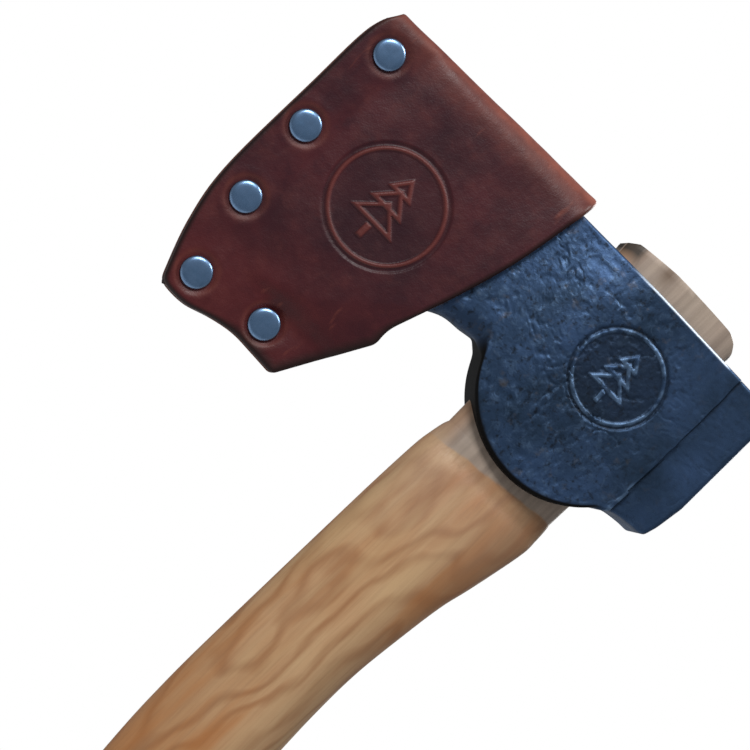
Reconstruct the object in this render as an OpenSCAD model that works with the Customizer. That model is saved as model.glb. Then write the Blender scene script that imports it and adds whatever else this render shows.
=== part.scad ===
// Felling axe with a riveted leather bit sheath.
// Axes: +X towards the poll, -X towards the bit, +Z up along the haft, cheeks face -Y and +Y.
// Origin: on the haft's centre line, at the underside of the head's lug.
// Profiles of the head and the sheath are drawn from the head's straight top edge down (z <= 0)
// and are lifted by lug_drop.

/* [Head] */
// Distance from the head's top edge down to the underside of its lug
lug_drop = 88.3; // [84:0.1:93]
// Radius of the rounded lug below the eye
lug_r = 40.8; // [39:0.1:42]
// Distance from the eye's centre to the flat poll face
poll_x = 56; // [53:0.5:62]
// Distance from the eye's centre to the step between cheek and poll
poll_step_x = 36.9; // [34:0.1:42]
// Depth of that step on each cheek
poll_step = 1.2; // [0.4:0.1:2]
// Thickness of the head across the eye
eye_wall_w = 31; // [29:0.5:34]
// Length of the eye at the top
eye_top_l = 59.4; // [56:0.1:60]
// Length of the eye at the underside of the lug
eye_low_l = 54.6; // [50:0.1:56]
// Width of the eye at the top
eye_top_w = 19.8; // [17:0.1:21]
// Width of the eye at the underside of the lug
eye_low_w = 18.2; // [16:0.1:20]
// Radius of the curved cutting edge
edge_r = 174; // [170:1:174]

/* [Haft] */
// Height of the tenon above the head's top edge
tenon_proud = 10.4; // [8:0.1:13]
// Overall length of the haft
haft_l = 813; // [790:1:830]
// Gap between the haft and what it is fitted to, on each side
fit = 0.05; // [0.02:0.01:0.15]

/* [Wedges] */
// Width of the wooden wedge at its top
wedge_w = 7; // [4:0.5:9]
// Depth of the saw cut that holds the wooden wedge, below the head's top edge
kerf_depth = 52; // [40:1:60]
// Place of the steel cross wedge along the tenon
cross_x = -8; // [-12:0.5:12]
// Width of the steel cross wedge
cross_l = 14; // [10:0.5:15]
// Thickness of the steel cross wedge at its top
cross_t = 2.2; // [1.6:0.1:3]
// Length of the steel cross wedge
cross_depth = 24; // [18:1:30]

/* [Sheath] */
// Thickness of the leather
leather_t = 3.5; // [2.5:0.1:4]
// Thickness of the welt between the two panels
welt_t = 3; // [2:0.1:4]
// Gap between the leather and the blade, on each side
blade_gap = 0.6; // [0.4:0.1:1]
// Gap between the cutting edge and the welt
edge_gap = 1.5; // [1:0.1:3]
// Lowest level the blade sweeps as the sheath is drawn off, below the head's top edge
sweep_z = -107.3; // [-108.3:0.1:-106.8]

/* [Rivets] */
// Diameter of a rivet's cap
cap_d = 12.5; // [11:0.5:13]
// Height of a cap at its centre
cap_h = 1.7; // [1.2:0.1:2.2]
// Diameter of the ring that each cap presses into the leather
ring_d = 16; // [14:0.5:18]
// Depth of that ring
ring_depth = 0.6; // [0.3:0.1:0.9]
// Outer diameter of the cap's tube
tube_d = 4.4; // [4:0.1:5]
// Diameter of the post that locks into the tube
post_d = 3; // [2.5:0.1:3.2]

/* [Hidden] */
$fn = 96;

// The cutting edge is an arc about this point, and the cheeks' thickness depends on the
// distance from it.
edge_c = [38.9, -39];
lug_c = [0, lug_r - lug_drop];
eye_sides = 48;
// Cheek profile: distance from edge_c, half thickness
cheek = [[edge_r, 0.25], [160, 2.2], [140, 4], [110, 6.9], [87, 10], [70, 13.9],
    [60, eye_wall_w / 2]];

// Underside of the poll, from the face to the lug
poll_under = [[poll_x, -49.3], [poll_x - 1.8, -61.3], [poll_x - 4.2, -67.1], [46.7, -67.5],
    [38.5, -69.1], [33.8, -72.6]];
// Underside of the neck and the beard's lower edge, from the lug to the heel and past it
neck_under = [[-42.6, -61], [-45, -61.5], [-48.5, -62.3], [-60, -64.8], [-78, -78.3],
    [-99.4, -97.3], [-122, -105.3], [-140, -109.3]];

// Haft stations: height from the head's top edge, front, back, half width
tenon_slope = (eye_top_l - eye_low_l) / 2 / lug_drop;
stations = [
    [-lug_drop, -eye_low_l / 2 + fit, eye_low_l / 2 - fit, eye_low_w / 2 - fit],
    [-91, -28.2, 27.7, 9.2], [-96.3, -29.2, 28, 9.6], [-102.3, -30, 28, 11.3],
    [-114.3, -30.6, 26, 12.6], [-127.3, -31, 23.4, 13.3], [-139.3, -31.2, 20.7, 13.7],
    [-157.3, -31.4, 18.3, 13.9], [-179.3, -31.6, 16.1, 14], [-201.3, -31.8, 16, 14],
    [-231.3, -31.7, 17.5, 14], [-261.3, -30, 18.9, 14], [-321.3, -24, 21, 13.8],
    [-401.3, -16, 24.5, 13.5], [-501.3, -8.5, 28, 13.2], [-601.3, -5.5, 29.5, 13],
    [-681.3, -9.5, 25.5, 13], [-726.3, -16.5, 20, 13.4], [-761.3, -26, 14, 14.4],
    [-786.3, -35.5, 9, 15.4],
    [-807.3, -40, 4, 15.6]];
haft_end = tenon_proud - haft_l;
haft_sides = 32;

// Sheath outline, clockwise from the spine's rear end
spine = [[-47.2, 8.5], [-148.6, 3.9]];
bit_side = [[-148.6, 3.9], [-152.2, -4.2], [-153.6, -14.3], [-153.5, -37.3],
    [-153.1, -82.8], [-148.4, -107.3], [-140.1, -128.7]];
lower_side = [[-137.1, -130.3], [-127.4, -130.1], [-117.2, -126.7], [-107, -124.5],
    [-97, -124.5], [-88.4, -124.8]];
diagonal = [[-86.5, -123.5], [-67.7, -89.4]];
mouth = [[-67.7, -89.4], [-68.2, -82.5], [-65.4, -72.9], [-59.5, -54.3], [-53.1, -28.9],
    [-47.2, 8.5]];
rivet_at = [[-141.2, -11.5], [-143.9, -52.3], [-140.3, -86.6], [-132.8, -119.1], [-101.6, -114.1]];
// The fifth rivet, below the beard, pinches the two panels together with no welt between
panel_gap = 0.4;
strip_half = welt_t / 2 + leather_t;
flap_half = panel_gap / 2 + leather_t;
rivet_half = [strip_half, strip_half, strip_half, strip_half, flap_half];
pouch_z = sweep_z - leather_t / 2;
far = 400;

// Point of a Catmull-Rom curve through p, between p[i] and p[i + 1]
function spline_at(p, i, t) = let(
        a = p[max(i - 1, 0)], b = p[i], c = p[i + 1], d = p[min(i + 2, len(p) - 1)])
    0.5 * (2 * b + (c - a) * t + (2 * a - 5 * b + 4 * c - d) * t * t
        + (3 * b - a - 3 * c + d) * t * t * t);
function spline(p, steps) = concat(
    [for (i = [0:len(p) - 2], k = [0:steps - 1]) spline_at(p, i, k / steps)],
    [p[len(p) - 1]]);
function arc(c, r, from, to, steps) =
    [for (k = [0:steps]) let(a = from + (to - from) * k / steps) c + r * [cos(a), sin(a)]];
function signed_pow(v, e) = sign(v) * pow(abs(v), e);
// Oval with slightly flattened sides: centre x, half length, half width
function oval(cx, a, b, n) = [for (k = [0:n - 1]) let(t = 360 * k / n)
    [cx + a * signed_pow(cos(t), 0.87), b * signed_pow(sin(t), 0.87)]];

// Extrudes a side-view shape across the whole thickness t
module across(t) {
    rotate([90, 0, 0]) linear_extrude(t, center = true) children();
}

// Revolves the cheek profile, grown by extra, about the arc's centre
module cheeks(extra) {
    r = [for (c = cheek) [c[0] + (c == cheek[0] ? extra : 0), c[1] + extra]];
    upper = concat([for (p = r) p], [[0, r[len(r) - 1][1]]]);
    lower = [for (i = [len(upper) - 1:-1:0]) [upper[i][0], -upper[i][1]]];
    translate([edge_c[0], 0, edge_c[1]]) rotate([90, 0, 0])
        rotate_extrude() polygon(concat(upper, lower));
}

module head_outline() {
    lug = arc(lug_c, lug_r, -38, -156, 16);
    polygon(concat([[-140, 0], [poll_x - 1, 0], [poll_x, -1]], poll_under, lug,
        spline(neck_under, 4)));
}

// Oval through the eye, narrower at the bottom, where it runs on past the lug
module eye() {
    low = oval(0, eye_low_l / 2, eye_low_w / 2, eye_sides);
    translate([0, 0, -lug_drop]) {
        linear_extrude(lug_drop, slices = 1,
            scale = [eye_top_l / eye_low_l, eye_top_w / eye_low_w]) polygon(low);
        translate([0, 0, -1]) linear_extrude(1.01) polygon(low);
    }
}

module axe_head() {
    color("#2f4562") translate([0, 0, lug_drop]) difference() {
        intersection() {
            across(2 * eye_wall_w) head_outline();
            cheeks(0);
        }
        eye();
        // Poll cheeks are set back behind the step
        for (s = [-1, 1])
            translate([poll_step_x, s * eye_wall_w / 2 - (s > 0 ? poll_step : 0), -far / 2])
                cube([far, poll_step, far]);
    }
}

function ring_at(s, n) = [for (p = oval((s[1] + s[2]) / 2, (s[2] - s[1]) / 2, s[3], n))
    [p[0], p[1], s[0]]];
function tenon_station(z) = [z, -eye_low_l / 2 + fit - (z + lug_drop) * tenon_slope,
    eye_low_l / 2 - fit + (z + lug_drop) * tenon_slope,
    eye_low_w / 2 - fit + (z + lug_drop) * (eye_top_w - eye_low_w) / 2 / lug_drop];

// Closed skin through the haft's sections
module haft_skin() {
    rows = concat([tenon_station(tenon_proud + 1), tenon_station(0)], spline(stations, 3));
    n = haft_sides;
    m = len(rows);
    points = [for (s = rows) each ring_at(s, n)];
    walls = [for (j = [0:m - 2], k = [0:n - 1]) let(a = j * n + k, b = j * n + (k + 1) % n)
        each [[a, a + n, b], [b, a + n, b + n]]];
    top = [for (k = [0:n - 1]) k];
    bottom = [for (k = [n - 1:-1:0]) (m - 1) * n + k];
    polyhedron(points, concat(walls, [top], [bottom]));
}

// Side outline that trims the tenon's top and the slanted butt end
module haft_trim() {
    half = eye_top_l / 2 + 1;
    polygon([[-half, tenon_proud - 6.6], [-half + 2, tenon_proud - 4.4],
        [-half + 5, tenon_proud - 2.2], [cross_x, tenon_proud - 0.6], [0, tenon_proud],
        [half - 9, tenon_proud], [half - 4.2, tenon_proud - 1.8],
        [half - 1.6, tenon_proud - 4.4], [half, tenon_proud - 8],
        [half + 20, -lug_drop], [half + 20, haft_end + 14],
        [-far / 8, haft_end], [-far / 8, -lug_drop]]);
}

// Wedge shapes in front view, grown by g on each side
module kerf_shape(g) {
    w = wedge_w / 2 + g;
    polygon([[-w, tenon_proud + g], [w, tenon_proud + g], [0.9 + g, -kerf_depth - g],
        [-0.9 - g, -kerf_depth - g]]);
}

module cross_shape(g) {
    w = cross_t / 2 + g;
    top = tenon_proud - 1;
    tip = top - cross_depth - g;
    translate([cross_x, 0])
        polygon([[-w, top + (g > 0 ? 2 : 0)], [w, top + (g > 0 ? 2 : 0)],
            [0.3 + g, tip], [-0.3 - g, tip]]);
}

module haft() {
    color("#b08d60") translate([0, 0, lug_drop]) difference() {
        intersection() {
            haft_skin();
            across(4 * eye_wall_w) haft_trim();
        }
        rotate([90, 0, 90]) linear_extrude(4 * eye_top_l, center = true) kerf_shape(fit);
        across(cross_l + 2 * fit) cross_shape(fit);
    }
}

module eye_wedge() {
    color("#c9ad7f") translate([0, 0, lug_drop]) difference() {
        intersection() {
            rotate([90, 0, 90]) linear_extrude(eye_top_l - 4, center = true) kerf_shape(0);
            across(2 * wedge_w) haft_trim();
        }
        across(cross_l + 2 * fit) cross_shape(fit);
    }
}

module cross_wedge() {
    color("#8b8f94") translate([0, 0, lug_drop]) across(cross_l) cross_shape(0);
}

module sheath_outline() {
    offset(r = 1.5, $fn = 24) offset(delta = -1.5)
        polygon(concat(spine, spline(bit_side, 5), spline(lower_side, 3), diagonal,
            spline(mouth, 4)));
}

module edge_disc(r) {
    translate(edge_c) circle(r);
}

// Everything above a level, towards the spine
module above(z) {
    translate([-far, z]) square([2 * far, far]);
}

// Side view of the space for the blade: below the fold, down to the lowest sweep, open at the
// mouth
module cavity_outline() {
    drop = leather_t;
    intersection() {
        edge_disc(edge_r + edge_gap);
        polygon([spine[1] - [20, drop + 0.8], spine[0] + [20, 0.8 - drop], [20, sweep_z],
            [spine[1][0] - 20, sweep_z]]);
    }
}

module rivet_place(i) {
    translate([rivet_at[i][0], 0, rivet_at[i][1]]) children();
}

module across_cylinder(d, t) {
    rotate([90, 0, 0]) cylinder(d = d, h = t, center = true);
}

module sheath_leather() {
    reach = edge_r + edge_gap;
    color("#4a2a2e") translate([0, 0, lug_drop]) difference() {
        union() {
            // Two panels pinched together below the beard
            across(2 * flap_half) sheath_outline();
            // Strip along the cutting edge, spread by the welt
            across(2 * strip_half) difference() {
                sheath_outline();
                edge_disc(reach - 4);
            }
            // Pouch that follows the blade's cheeks
            intersection() {
                across(4 * eye_wall_w) intersection() {
                    sheath_outline();
                    above(pouch_z);
                }
                cheeks(blade_gap + leather_t);
                rotate([90, 0, 90]) linear_extrude(far, center = true) fold_section();
            }
        }
        // Blade space
        intersection() {
            across(4 * eye_wall_w) cavity_outline();
            cheeks(blade_gap);
        }
        // Slit between the pinched panels
        across(panel_gap) intersection() {
            edge_disc(reach);
            translate([-far, -far]) square([2 * far, far + sweep_z + 0.1]);
        }
        // Slot for the welt
        across(welt_t) difference() {
            offset(delta = 1) sheath_outline();
            edge_disc(reach);
            above(-leather_t);
        }
        for (i = [0:4]) rivet_place(i) {
            across_cylinder(tube_d, 4 * strip_half);
            for (s = [-1, 1])
                translate([0, s * (rivet_half[i] - ring_depth + strip_half), 0])
                    across_cylinder(ring_d, 2 * strip_half);
        }
    }
}

// Rounded front view of the folded spine
module fold_section() {
    half = cheek[4][1] + blade_gap + leather_t + 2;
    offset(r = 9) offset(delta = -9)
        translate([-half, -far]) square([2 * half, far + spine[0][1] + 0.1]);
}

module welt() {
    color("#3a2224") translate([0, 0, lug_drop]) difference() {
        across(welt_t - 2 * fit) difference() {
            offset(delta = -0.3) sheath_outline();
            edge_disc(edge_r + edge_gap + fit);
            above(-leather_t - fit);
        }
        for (i = [0:3]) rivet_place(i) across_cylinder(tube_d, 4 * strip_half);
    }
}

// Flat dome of a cap, from its seat outwards along +Z
module cap_dome() {
    r = cap_d / 2;
    rotate_extrude() polygon(concat([[0, 0], [r - 0.2, 0], [r, 0.2], [r, cap_h - 1]],
        arc([r - 0.8, cap_h - 1], 0.8, 0, 80, 6), [[0, cap_h]]));
}

// Turns a part that points along +Z so that it points along -Y (s = 1) or +Y (s = -1)
module face(s) {
    rotate([90 * s, 0, 0]) children();
}

module rivet_cap(i) {
    seat = rivet_half[i] - ring_depth;
    color("#4f6788") translate([0, 0, lug_drop]) rivet_place(i) face(1) {
        difference() {
            union() {
                translate([0, 0, seat]) cap_dome();
                translate([0, 0, 0.2]) cylinder(d = tube_d - 2 * fit, h = seat - 0.1);
            }
            translate([0, 0, -1]) cylinder(d = post_d, h = seat + 0.8);
        }
    }
}

module rivet_post(i) {
    seat = rivet_half[i] - ring_depth;
    color("#6d7f97") translate([0, 0, lug_drop]) rivet_place(i) face(-1) {
        translate([0, 0, seat]) cap_dome();
        cylinder(d = tube_d - 2 * fit, h = seat + 0.1);
        translate([0, 0, 0.5 - seat]) cylinder(d = post_d - 2 * fit, h = seat + 0.1);
    }
}

axe_head();
haft();
eye_wedge();
cross_wedge();
sheath_leather();
welt();
for (i = [0:4]) rivet_cap(i);
for (i = [0:4]) rivet_post(i);
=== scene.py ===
"""Looks for the felling axe and its leather sheath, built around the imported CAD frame.

Profiles are in millimetres in head coordinates: x from the eye's centre, towards the poll, and
z from the head's straight top edge, up. mesh_from() turns them into metres in the row frame.
"""
import math

import bpy
import numpy as np
from mathutils import Matrix, Vector, noise


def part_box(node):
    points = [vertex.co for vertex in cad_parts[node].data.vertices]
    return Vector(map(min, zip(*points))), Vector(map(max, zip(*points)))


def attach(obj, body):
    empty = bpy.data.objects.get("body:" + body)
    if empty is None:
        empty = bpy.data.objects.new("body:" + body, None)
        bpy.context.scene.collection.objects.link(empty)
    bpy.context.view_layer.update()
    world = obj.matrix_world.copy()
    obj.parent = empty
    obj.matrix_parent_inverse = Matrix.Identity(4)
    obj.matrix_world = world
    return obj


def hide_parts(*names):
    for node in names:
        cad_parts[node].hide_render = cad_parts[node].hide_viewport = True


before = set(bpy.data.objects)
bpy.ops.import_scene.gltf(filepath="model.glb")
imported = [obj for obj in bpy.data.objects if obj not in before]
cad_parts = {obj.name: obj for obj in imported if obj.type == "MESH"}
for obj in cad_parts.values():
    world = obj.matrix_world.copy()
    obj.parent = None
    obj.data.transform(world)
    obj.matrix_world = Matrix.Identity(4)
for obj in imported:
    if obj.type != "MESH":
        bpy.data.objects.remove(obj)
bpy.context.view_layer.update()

MM = 0.001
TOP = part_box("axe_head")[1].z          # level of the head's straight top edge
POLL_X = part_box("axe_head")[1].x / MM  # flat face of the poll
LUG_Z = -TOP / MM                      # the row's origin is at the lug's underside
TENON_TOP = (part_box("haft")[1].z - TOP) / MM
BUTT_Z = (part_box("haft")[0].z - TOP) / MM

# ---------------------------------------------------------------- camera

VIEW_TARGET = Vector((-60.4 * MM, -12 * MM, TOP - 98.1 * MM))
VIEW_AZIMUTH = math.radians(-7)
VIEW_ELEVATION = math.radians(-6)
VIEW_DISTANCE = 1.6
VIEW_UP = Vector((-0.722, 0, 0.692))   # the haft runs down to the picture's lower left
VIEW_WIDTH = 0.2762                    # width of the view at the target
SENSOR_WIDTH = 36


def make_camera():
    data = bpy.data.cameras.new("camera")
    cam = bpy.data.objects.new("camera", data)
    bpy.context.scene.collection.objects.link(cam)
    back = Vector((math.sin(VIEW_AZIMUTH) * math.cos(VIEW_ELEVATION),
                   -math.cos(VIEW_AZIMUTH) * math.cos(VIEW_ELEVATION),
                   math.sin(VIEW_ELEVATION)))
    right = VIEW_UP.cross(back).normalized()
    up = back.cross(right)
    turn = Matrix((right, up, back)).transposed().to_4x4()
    cam.matrix_world = Matrix.Translation(VIEW_TARGET + back * VIEW_DISTANCE) @ turn
    data.sensor_width = SENSOR_WIDTH
    data.lens = SENSOR_WIDTH * VIEW_DISTANCE / VIEW_WIDTH
    data.clip_start = 0.05
    bpy.context.scene.camera = cam


make_camera()

# ---------------------------------------------------------------- curves, grids and meshes


def spline(points, steps=8):
    """Catmull-Rom curve through the points."""
    p = np.asarray(points, float)
    p = np.vstack([p[:1], p, p[-1:]])
    t = np.arange(steps)[:, None] / steps
    pieces = [0.5 * (2 * b + (c - a) * t + (2 * a - 5 * b + 4 * c - d) * t ** 2
                     + (3 * b - a - 3 * c + d) * t ** 3)
              for a, b, c, d in zip(p, p[1:], p[2:], p[3:])]
    return np.vstack(pieces + [p[-1:]])


def arc(centre, radius, start, end, count):
    a = np.radians(np.linspace(start, end, count))
    return np.column_stack([centre[0] + radius * np.cos(a), centre[1] + radius * np.sin(a)])


def along(curve, s):
    """Points at the fractions s of a polyline's length."""
    step = np.linalg.norm(np.diff(curve, axis=0), axis=1)
    d = np.r_[0, np.cumsum(step)] / step.sum()
    return np.column_stack([np.interp(s, d, axis) for axis in curve.T])


def spaced(*stretches):
    """Rising values from stretches of (start, end, step)."""
    runs = [np.linspace(a, b, max(2, round((b - a) / step) + 1))[:-1] for a, b, step in stretches]
    return np.r_[np.concatenate(runs), stretches[-1][1]]


def smooth_step(low, high, v):
    t = np.clip((v - low) / (high - low), 0, 1)
    return t * t * (3 - 2 * t)


def coons(top, bottom, left, right, u, v):
    """Grid [v, u] of points between four curves that meet at their corners."""
    uu, vv = u[None, :, None], v[:, None, None]
    t, b = along(top, u)[None], along(bottom, u)[None]
    l, r = along(left, v)[:, None], along(right, v)[:, None]
    corners = ((1 - uu) * (1 - vv) * t[:, :1] + uu * (1 - vv) * t[:, -1:]
               + (1 - uu) * vv * b[:, :1] + uu * vv * b[:, -1:])
    return (1 - vv) * t + vv * b + (1 - uu) * l + uu * r - corners


def to_line(points, line):
    """Distance of each point from a polyline."""
    a, b = line[:-1], line[1:]
    d = b - a
    q = points.reshape(-1, 1, 2)
    t = np.clip(((q - a) * d).sum(-1) / np.maximum((d * d).sum(-1), 1e-9), 0, 1)
    return np.linalg.norm(q - a - t[..., None] * d, axis=-1).min(1).reshape(points.shape[:-1])


def noise_at(points, size, octaves=1, seed=0.0):
    """Perlin noise, about -1 to 1, with features of the given size in millimetres."""
    flat = points.reshape(-1, 3) / size + seed
    total = np.array([noise.fractal(Vector(p), 0.7, 2.1, octaves) for p in flat])
    return total.reshape(points.shape[:-1])


def normals_of(grid):
    """Unit normals of a grid [row, column] of points."""
    n = np.cross(np.gradient(grid, axis=1), np.gradient(grid, axis=0))
    return n / np.maximum(np.linalg.norm(n, axis=-1, keepdims=True), 1e-9)


def quads(index):
    """Faces between neighbouring entries of a grid of vertex numbers."""
    return np.stack([index[:-1, :-1], index[1:, :-1], index[1:, 1:], index[:-1, 1:]],
                    -1).reshape(-1, 4)


def mesh_from(name, points, faces, marks=None, sharp=40):
    """Mesh object from points in head millimetres, with named marks, one number a point."""
    points = np.asarray(points, float) * MM + [0, 0, TOP]
    mesh = bpy.data.meshes.new(name)
    mesh.from_pydata(points.tolist(), [], [tuple(dict.fromkeys(f)) for f in faces])
    for mark, values in (marks or {}).items():
        attribute = mesh.attributes.new(mark, "FLOAT", "POINT")
        attribute.data.foreach_set("value", np.asarray(values, np.float32))
    mesh.validate()
    mesh.polygons.foreach_set("use_smooth", [True] * len(mesh.polygons))
    if sharp:
        mesh.set_sharp_from_angle(angle=math.radians(sharp))
    piece = bpy.data.objects.new(name, mesh)
    bpy.context.scene.collection.objects.link(piece)
    return piece


def place(piece, body, slot, material, *nodes):
    """Puts a piece on its body, with its material, for the CAD nodes it replaces; the slot is not
    used.
    """
    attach(piece, body)
    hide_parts(*nodes)
    piece.data.materials.clear()
    piece.data.materials.append(material)


# ---------------------------------------------------------------- materials


class Shader:
    """A material's node tree, with short calls for the nodes used here."""

    def __init__(self, name, **settings):
        self.material = bpy.data.materials.new(name)
        self.material.use_nodes = True
        self.nodes = self.material.node_tree.nodes
        self.links = self.material.node_tree.links
        self.surface = self.nodes["Principled BSDF"]
        for socket, value in settings.items():
            self.surface.inputs[socket.replace("_", " ")].default_value = value
        self.object = self.nodes.new("ShaderNodeTexCoord").outputs["Object"]

    def add(self, kind, inputs=None, **settings):
        node = self.nodes.new("ShaderNode" + kind)
        for key, value in settings.items():
            setattr(node, key, value)
        for key, value in (inputs or {}).items():
            self.feed(node.inputs[key], value)
        return node

    def feed(self, socket, value):
        if isinstance(value, bpy.types.NodeSocket):
            self.links.new(value, socket)
        else:
            socket.default_value = value

    def set(self, socket, value):
        self.feed(self.surface.inputs[socket], value)

    def stretched(self, scale, turn=(0, 0, 0), move=(0, 0, 0)):
        return self.add("Mapping", {"Vector": self.object, "Scale": scale, "Rotation": turn,
                                    "Location": move}).outputs["Vector"]

    def noise(self, size, detail=3, rough=0.55, vector=None, distort=0.0):
        """Cloudy noise, 0 to 1, with features of that size in millimetres."""
        return self.add("TexNoise", {"Vector": vector or self.object, "Scale": 1 / (size * MM),
                                     "Detail": detail, "Roughness": rough,
                                     "Distortion": distort}).outputs["Fac"]

    def cells(self, size):
        """Distance to the cells of a Voronoi pattern with cells of that size."""
        return self.add("TexVoronoi", {"Vector": self.object,
                                       "Scale": 1 / (size * MM)}).outputs["Distance"]

    def math(self, operation, a, b=0.0):
        return self.add("Math", {0: a, 1: b}, operation=operation).outputs[0]

    def fit(self, value, low, high, to_low=0.0, to_high=1.0):
        """value mapped from low..high to to_low..to_high, and clamped."""
        return self.add("MapRange", {"Value": value, "From Min": low, "From Max": high,
                                     "To Min": to_low, "To Max": to_high}).outputs["Result"]

    def mix(self, factor, a, b):
        node = self.add("Mix", data_type="RGBA")
        for socket, value in zip((node.inputs[0], node.inputs[6], node.inputs[7]),
                                 (factor, a, b)):
            self.feed(socket, value)
        return node.outputs[2]

    def mark(self, name):
        """A number that the mesh carries at each point."""
        return self.add("Attribute", attribute_name=name).outputs["Fac"]

    def bump(self, *layers):
        """Stacked bumps from (height, depth in millimetres) pairs."""
        normal = None
        for height, depth in layers:
            node = self.add("Bump", {"Height": height, "Distance": depth * MM})
            if normal:
                self.links.new(normal, node.inputs["Normal"])
            normal = node.outputs["Normal"]
        self.links.new(normal, self.surface.inputs["Normal"])


def colour(code):
    """Linear RGBA of an sRGB code such as 3b2a30."""
    values = [int(code[i:i + 2], 16) / 255 for i in (0, 2, 4)]
    return [v / 12.92 if v <= 0.04045 else ((v + 0.055) / 1.055) ** 2.4 for v in values] + [1]


def leather_material():
    s = Shader("waxed_leather", Specular_IOR_Level=0.2)
    cloud = s.noise(24, 3, 0.55)
    blotch = s.noise(8, 4, 0.6)
    base = s.mix(s.fit(cloud, 0.36, 0.66), colour("2b0e15"), colour("3c151a"))
    base = s.mix(s.fit(blotch, 0.52, 0.78, 0, 0.5), base, colour("4c1e1c"))
    base = s.mix(s.fit(blotch, 0.46, 0.3, 0, 0.5), base, colour("261119"))
    height = s.add("SeparateXYZ", {0: s.object}).outputs["Z"]
    base = s.mix(s.fit(height, 10 * MM, -35 * MM, 0, 0.35), base, colour("5a1c18"))
    scuffs = s.noise(5, 2, 0.5, s.stretched((1, 1, 0.25), (0, 0.7, 0)))
    base = s.mix(s.fit(scuffs, 0.69, 0.8, 0, 0.3), base, colour("8a4a38"))
    base = s.mix(s.fit(s.mark("groove"), 0, 1, 0, 0.4), base, colour("260f16"))
    base = s.mix(s.fit(s.mark("line"), 0, 1, 0, 0.7), base, colour("5c2b26"))
    # Dark edges, widening into painted shade at the lower right
    base = s.mix(s.fit(s.mark("edge"), 0.1, 0.9, 0, 0.92), base, colour("190c0b"))
    # Rubbed wear on the spine, a painted sheen below it, and lighter rings round the rivets
    highlight_and_wear = s.math("MULTIPLY", s.mark("wear"), s.fit(blotch, 0.3, 0.6, 0.65, 1))
    base = s.mix(s.fit(highlight_and_wear, 0, 1, 0, 0.9), base, colour("7d4638"))
    flesh = s.mix(s.noise(1.2, 3), colour("4a2a22"), colour("6b4234"))
    base = s.mix(s.mark("inside"), base, flesh)
    s.set("Base Color", base)
    wrinkle = s.noise(2.2, 4, 0.62)
    rough = s.fit(blotch, 0.3, 0.75, 0.36, 0.5)
    s.set("Roughness", s.mix(s.mark("inside"), rough, (0.85,) * 3 + (1,)))
    s.bump((s.cells(0.7), 0.03), (wrinkle, 0.12), (scuffs, 0.14))
    return s.material


def welt_material():
    s = Shader("burnished_edge", Roughness=0.4)
    layers = s.noise(0.8, 3, 0.6, s.stretched((0.15, 1, 0.15)))
    s.set("Base Color", s.mix(s.fit(layers, 0.3, 0.7), colour("140a0a"), colour("331c18")))
    s.bump((layers, 0.25), (s.noise(0.4, 2), 0.08))
    return s.material


def steel_material():
    s = Shader("forged_steel", Metallic=0.85, Specular_IOR_Level=0.5)
    patch = s.noise(28, 3, 0.55)
    scale = s.noise(3.6, 4, 0.62, distort=0.5)
    pits = s.noise(2.3, 3, 0.6)
    crisp = s.mark("crisp")
    base = s.mix(s.fit(patch, 0.36, 0.66), colour("203145"), colour("304563"))
    flecks = s.math("MULTIPLY", s.fit(scale, 0.52, 0.7, 0, 0.55), crisp)
    base = s.mix(flecks, base, colour("4a607b"))
    base = s.mix(s.math("MULTIPLY", s.fit(pits, 0.46, 0.3, 0, 0.85), crisp), base,
                 colour("161d27"))
    brown = s.math("MULTIPLY", s.fit(s.noise(5, 3), 0.6, 0.75, 0, 0.35), crisp)
    base = s.mix(brown, base, colour("5b5348"))
    # Painted highlight along the head's top edge
    base = s.mix(s.fit(s.mark("edge"), 0, 1, 0, 0.9), base, colour("c3ced9"))
    # Darker sunk floor of the mark, and a painted shadow along the poll's step
    base = s.mix(s.fit(s.mark("groove"), 0, 1, 0, 0.55), base, colour("121a25"))
    # Lighter raised lines of the mark, and painted highlights at the poll step's lower end
    base = s.mix(s.fit(s.mark("line"), 0, 1, 0, 0.6), base, colour("59718d"))
    # Painted shade: near-black and matt under the lug and on its rounded lower edges
    base = s.mix(s.mark("under"), base, colour("100f0f"))
    base = s.mix(s.mark("ground"), base, colour("a8adb3"))
    s.set("Base Color", base)
    s.set("Roughness", s.mix(s.mark("under"), s.fit(scale, 0.3, 0.7, 0.56, 0.42),
                             (0.8,) * 3 + (1,)))
    fine = s.math("MULTIPLY", s.noise(0.7, 3), crisp)
    s.bump((s.math("MULTIPLY", scale, crisp), 0.2), (fine, 0.03), (pits, 0.05))
    return s.material


def rivet_material():
    s = Shader("blued_rivet", Metallic=1.0)
    haze = s.noise(2.5, 4, 0.6)
    base = s.mix(s.fit(haze, 0.35, 0.7), colour("5a7594"), colour("6d89ab"))
    s.set("Base Color", s.mix(s.fit(s.mark("edge"), 0, 1, 0, 0.4), base, colour("8ba3bf")))
    scratches = s.noise(1.0, 2, 0.5, s.stretched((1, 1, 0.08), (0, 0.5, 0)))
    s.set("Roughness", s.fit(haze, 0.3, 0.7, 0.36, 0.26))
    s.bump((scratches, 0.02), (haze, 0.03))
    return s.material


RING_PITCH = 4.4                       # spacing of the year rings, in millimetres
HEART = (12, 62)                       # x and y of the tree's heart, far behind the haft


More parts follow.
